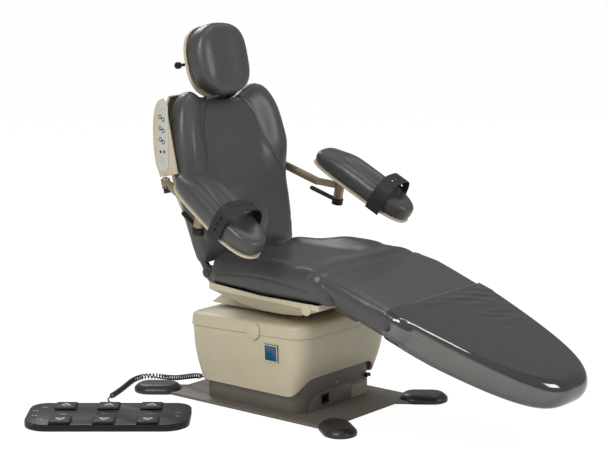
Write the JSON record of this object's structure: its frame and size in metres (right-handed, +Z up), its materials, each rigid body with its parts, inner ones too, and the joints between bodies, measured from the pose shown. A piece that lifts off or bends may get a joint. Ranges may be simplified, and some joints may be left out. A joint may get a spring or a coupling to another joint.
{
  "type": "oral surgery chair",
  "caption": "Powered surgery chair with reclining back, following leg section, jointed headrest, swinging arm boards and a corded foot control on a flat plate base.",
  "frame": {"origin": "middle of the base plate's underside, on the floor and on the lift column's axis", "axes": "+Z up, -Y towards the sitter's feet, +X towards the sitter's left"},
  "size_m": [1.2853, 1.6322, 1.2272],
  "materials": {
    "base_paint": "satin textured powder coat",
    "black_plastic": "fine texture",
    "black_rubber": "satin",
    "cream_shell": "satin thermoformed plastic",
    "bright_steel": "brushed",
    "motor_paint": "hammered",
    "upholstery": "smooth satin coated vinyl",
    "clear_cover": "clear glossy film",
    "badge_blue": "glossy, left bare",
    "keypad_film": "satin film with printed marks",
    "bronze_paint": "metallic lacquer",
    "strap_rubber": "matte",
    "frame_steel": "semi-gloss enamel"
  },
  "bodies": {
    "base": {"base_plate": "base_paint", "foot_caps": "black_rubber", "lower_skirt": "base_paint", "access_panel": "base_paint", "power_inlet": "black_plastic", "skirt_latch": "black_plastic", "outer_column": "bright_steel", "lift_motor": "motor_paint", "lift_screw": "bright_steel", "control_unit": "black_plastic", "cord_gland": "black_rubber", "curly_cord": "black_rubber", "cord_lead": "black_rubber", "foot_control_base": "black_plastic", "foot_control_cover": "black_plastic"},
    "stage": {"mid_skirt": "base_paint", "mid_column": "bright_steel"},
    "lift": {"lift_shroud": "cream_shell", "side_caps": "cream_shell", "badge_plate": "badge_blue", "inner_column": "bright_steel"},
    "turret": {"turntable": "frame_steel", "neck_cover": "cream_shell"},
    "seat": {"seat_frame": "frame_steel", "seat_pan": "cream_shell", "seat_cushion": "upholstery", "tilt_actuator": "black_plastic", "back_gearmotor": "motor_paint"},
    "leg_section": {"leg_frame": "frame_steel", "leg_cushion": "upholstery", "toe_cover": "clear_cover"},
    "back": {"back_frame": "frame_steel", "back_shell": "cream_shell", "control_pods": "cream_shell", "keypad": "keypad_film", "back_cushion": "upholstery", "arm_pivot_caps": "black_plastic"},
    "head_slide": {"head_bar": "bright_steel"},
    "head_arm": {"head_link": "frame_steel"},
    "headrest": {"head_shell": "cream_shell", "head_cushion": "upholstery"},
    "head_lock": {"head_knob": "black_plastic"},
    "arm_left": {"arm_bar_left": "bronze_paint"},
    "arm_lock_left": {"arm_lever_left": "black_plastic"},
    "arm_post_left": {"arm_stem_left": "bright_steel"},
    "arm_board_left": {"arm_pan_left": "cream_shell", "arm_pad_left": "upholstery", "arm_strap_left": "strap_rubber"},
    "arm_right": {"arm_bar_right": "bronze_paint"},
    "arm_lock_right": {"arm_lever_right": "black_plastic"},
    "arm_post_right": {"arm_stem_right": "bright_steel"},
    "arm_board_right": {"arm_pan_right": "cream_shell", "arm_pad_right": "upholstery", "arm_strap_right": "strap_rubber"},
    "pad_lift_up": {"foot_pad_lift_up": "black_plastic"},
    "pad_lift_down": {"foot_pad_lift_down": "black_plastic"},
    "pad_back_up": {"foot_pad_back_up": "black_plastic"},
    "pad_back_down": {"foot_pad_back_down": "black_plastic"},
    "pad_tilt_up": {"foot_pad_tilt_up": "black_plastic"},
    "pad_tilt_down": {"foot_pad_tilt_down": "black_plastic"}
  },
  "joints": [
    {"name": "lift", "type": "slide", "parent": "base", "child": "lift", "axis": [0, 0, 1], "range_m": [0, 0.23]},
    {"name": "stage_lift", "type": "slide", "parent": "base", "child": "stage", "axis": [0, 0, 1], "range_m": [0, 0.115]},
    {"name": "swivel", "type": "hinge", "parent": "lift", "child": "turret", "pos_m": [0, 0, 0.316], "axis": [0, 0, 1], "range_deg": [-165, 165]},
    {"name": "seat_tilt", "type": "hinge", "parent": "turret", "child": "seat", "pos_m": [0, 0.02, 0.38], "axis": [-1, 0, 0], "range_deg": [0, 15]},
    {"name": "recline", "type": "hinge", "parent": "seat", "child": "back", "pos_m": [0, 0.182, 0.43], "axis": [-1, 0, 0], "range_deg": [0, 72]},
    {"name": "leg_raise", "type": "hinge", "parent": "seat", "child": "leg_section", "pos_m": [0, -0.285, 0.39], "axis": [-1, 0, 0], "range_deg": [0, 19.5]},
    {"name": "head_height", "type": "slide", "parent": "back", "child": "head_slide", "axis": [0, 0.225, 0.9744], "range_m": [0, 0.1]},
    {"name": "head_lower_hinge", "type": "hinge", "parent": "head_slide", "child": "head_arm", "pos_m": [0, 0.36892, 1.03958], "axis": [1, 0, 0], "range_deg": [-45, 6]},
    {"name": "head_upper_hinge", "type": "hinge", "parent": "head_arm", "child": "headrest", "pos_m": [0, 0.36892, 1.09294], "axis": [1, 0, 0], "range_deg": [-40, 6]},
    {"name": "head_knob_turn", "type": "hinge", "parent": "headrest", "child": "head_lock", "pos_m": [0, 0.36892, 1.09294], "axis": [-1, 0, 0], "range_deg": [0, 120]},
    {"name": "arm_swing_left", "type": "hinge", "parent": "back", "child": "arm_left", "pos_m": [0.288, 0.28313, 0.73025], "axis": [0, 0.225, 0.9744], "range_deg": [0, 70]},
    {"name": "arm_lever_left_turn", "type": "hinge", "parent": "arm_left", "child": "arm_lock_left", "pos_m": [0.359, 0.07941, 0.60353], "axis": [0, -0.1736, 0.9848], "range_deg": [-15, 20]},
    {"name": "arm_turn_left", "type": "hinge", "parent": "arm_left", "child": "arm_post_left", "pos_m": [0.359, 0.06551, 0.68231], "axis": [0, -0.1736, 0.9848], "range_deg": [-35, 35]},
    {"name": "arm_tilt_left", "type": "hinge", "parent": "arm_post_left", "child": "arm_board_left", "pos_m": [0.359, 0.06551, 0.68231], "axis": [0.9903, 0.1371, 0.0242], "range_deg": [-20, 20]},
    {"name": "arm_swing_right", "type": "hinge", "parent": "back", "child": "arm_right", "pos_m": [-0.288, 0.28313, 0.73025], "axis": [0, -0.225, -0.9744], "range_deg": [0, 70]},
    {"name": "arm_lever_right_turn", "type": "hinge", "parent": "arm_right", "child": "arm_lock_right", "pos_m": [-0.359, 0.07941, 0.60353], "axis": [0, 0.1736, -0.9848], "range_deg": [-15, 20]},
    {"name": "arm_turn_right", "type": "hinge", "parent": "arm_right", "child": "arm_post_right", "pos_m": [-0.359, 0.06551, 0.68231], "axis": [0, 0.1736, -0.9848], "range_deg": [-35, 35]},
    {"name": "arm_tilt_right", "type": "hinge", "parent": "arm_post_right", "child": "arm_board_right", "pos_m": [-0.359, 0.06551, 0.68231], "axis": [0.9903, -0.1371, -0.0242], "range_deg": [-20, 20]},
    {"name": "press_lift_up", "type": "slide", "parent": "base", "child": "pad_lift_up", "axis": [0, 0, -1], "range_m": [0, 0.0025], "stiffness_N_per_m": 1500, "springref_m": -0.001},
    {"name": "press_lift_down", "type": "slide", "parent": "base", "child": "pad_lift_down", "axis": [0, 0, -1], "range_m": [0, 0.0025], "stiffness_N_per_m": 1500, "springref_m": -0.001},
    {"name": "press_back_up", "type": "slide", "parent": "base", "child": "pad_back_up", "axis": [0, 0, -1], "range_m": [0, 0.0025], "stiffness_N_per_m": 1500, "springref_m": -0.001},
    {"name": "press_back_down", "type": "slide", "parent": "base", "child": "pad_back_down", "axis": [0, 0, -1], "range_m": [0, 0.0025], "stiffness_N_per_m": 1500, "springref_m": -0.001},
    {"name": "press_tilt_up", "type": "slide", "parent": "base", "child": "pad_tilt_up", "axis": [0, 0, -1], "range_m": [0, 0.0025], "stiffness_N_per_m": 1500, "springref_m": -0.001},
    {"name": "press_tilt_down", "type": "slide", "parent": "base", "child": "pad_tilt_down", "axis": [0, 0, -1], "range_m": [0, 0.0025], "stiffness_N_per_m": 1500, "springref_m": -0.001}
  ],
  "couplings": [
    {"joint": "stage_lift", "follows": "lift", "ratio": 0.5},
    {"joint": "leg_raise", "follows": "recline", "ratio": 0.27083}
  ]
}
